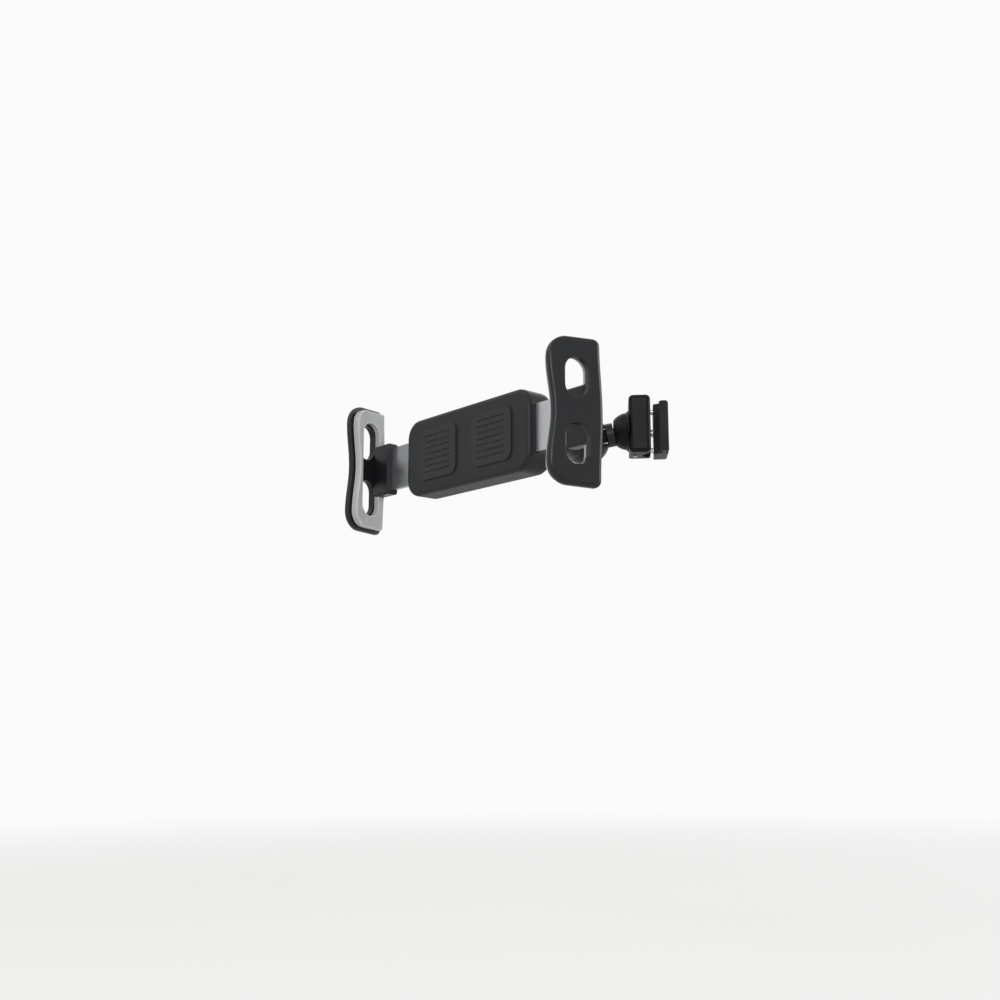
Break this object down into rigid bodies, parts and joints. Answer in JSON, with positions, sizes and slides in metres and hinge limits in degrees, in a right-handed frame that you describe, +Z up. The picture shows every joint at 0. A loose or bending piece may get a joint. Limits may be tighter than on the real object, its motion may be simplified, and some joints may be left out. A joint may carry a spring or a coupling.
{
  "type": "phone and tablet holder",
  "caption": "Phone and tablet holder: sprung claws on a slim head, ball joints and an elbow bar, and a screw clamp for a headrest post.",
  "frame": {"origin": "on the headrest post's axis, at mid height of the clamp", "axes": "+Z up along the post, claws open towards -Y, +X along the head to the side of the post"},
  "size_m": [0.2254, 0.1869, 0.0935],
  "materials": {
    "clamp_black": "fine moulded grain, near black",
    "knob_black": "fine moulded grain",
    "bar_black": "satin moulded plastic, near black",
    "head_black": "fine moulded grain",
    "claw_black": "satin moulded plastic with a fine grain",
    "claw_pad": "pale grey soft rubber",
    "liner_rubber": "ribbed black rubber",
    "soft_rubber": "matt black rubber",
    "pale_nylon": "unfilled nylon",
    "steel": "zinc plated steel",
    "slide_steel": "brushed steel sheet",
    "spring_steel": "blued spring steel strip"
  },
  "bodies": {
    "clamp": {"clamp_body": "clamp_black", "fixed_liner": "liner_rubber", "ball_cap": "clamp_black", "tension_screw": "steel"},
    "jaw": {"clamp_jaw": "clamp_black", "jaw_liner": "liner_rubber", "guide_rods": "steel"},
    "hand_screw": {"clamp_screw": "steel", "clamp_knob": "knob_black"},
    "ring": {"friction_ring": "pale_nylon"},
    "short_arm": {"short_bar": "bar_black"},
    "long_arm": {"long_bar": "bar_black", "elbow_bolt": "steel", "elbow_nut": "steel", "elbow_washers": "knob_black"},
    "seat": {"ball_seat": "pale_nylon"},
    "head": {"rear_cover": "head_black", "front_cover": "head_black", "cover_screws": "steel", "face_pads": "soft_rubber", "pinion_pin": "steel", "power_spring": "spring_steel"},
    "ring_nut": {"lock_ring": "knob_black"},
    "right_claw": {"slide_right": "slide_steel", "claw_right": "claw_black", "claw_pad_right": "claw_pad", "claw_screws_right": "steel"},
    "left_claw": {"slide_left": "slide_steel", "claw_left": "claw_black", "claw_pad_left": "claw_pad", "claw_screws_left": "steel"},
    "gear": {"pinion": "pale_nylon"}
  },
  "joints": [
    {"name": "jaw_slide", "type": "slide", "parent": "clamp", "child": "jaw", "axis": [0.7201, 0.6939, 0], "range_m": [-0.001, 0.008]},
    {"name": "hand_screw_turn", "type": "hinge", "parent": "clamp", "child": "hand_screw", "pos_m": [-0.01318, 0.01368, 0], "axis": [0.7201, 0.6939, 0], "range_deg": [-46, 361]},
    {"name": "clamp_ball_roll", "type": "hinge", "parent": "clamp", "child": "ring", "pos_m": [-0.01167, -0.01124, -0.003], "axis": [0.7201, 0.6939, 0], "range_deg": [-180, 180]},
    {"name": "clamp_ball_tilt", "type": "hinge", "parent": "ring", "child": "short_arm", "pos_m": [-0.01167, -0.01124, -0.003], "axis": [-0.6939, 0.7201, 0], "range_deg": [-7, 26]},
    {"name": "elbow", "type": "hinge", "parent": "short_arm", "child": "long_arm", "pos_m": [-0.03359, -0.03236, -0.00886], "axis": [0, -0.2672, 0.9636], "range_deg": [-150, 68]},
    {"name": "head_tilt", "type": "hinge", "parent": "long_arm", "child": "seat", "pos_m": [-0.03359, -0.10367, -0.02863], "axis": [1, 0, 0], "range_deg": [-8, 37]},
    {"name": "head_roll", "type": "hinge", "parent": "seat", "child": "head", "pos_m": [-0.03359, -0.10367, -0.02863], "axis": [0, 1, 0], "continuous": true},
    {"name": "lock_ring_turn", "type": "hinge", "parent": "head", "child": "ring_nut", "pos_m": [-0.03359, -0.10367, -0.02863], "axis": [0, 1, 0], "range_deg": [0, 90]},
    {"name": "right_claw_slide", "type": "slide", "parent": "head", "child": "right_claw", "axis": [-1, 0, 0], "range_m": [-0.003, 0.027]},
    {"name": "left_claw_slide", "type": "slide", "parent": "head", "child": "left_claw", "axis": [1, 0, 0], "range_m": [-0.0035, 0.0275]},
    {"name": "pinion_turn", "type": "hinge", "parent": "head", "child": "gear", "pos_m": [-0.03359, -0.13607, -0.02863], "axis": [0, 1, 0], "range_deg": [-208, 25]}
  ],
  "couplings": [
    {"joint": "left_claw_slide", "follows": "right_claw_slide", "ratio": 1},
    {"joint": "pinion_turn", "follows": "right_claw_slide", "rad_per_m": -133.33},
    {"joint": "hand_screw_turn", "follows": "jaw_slide", "rad_per_m": 785.4}
  ]
}
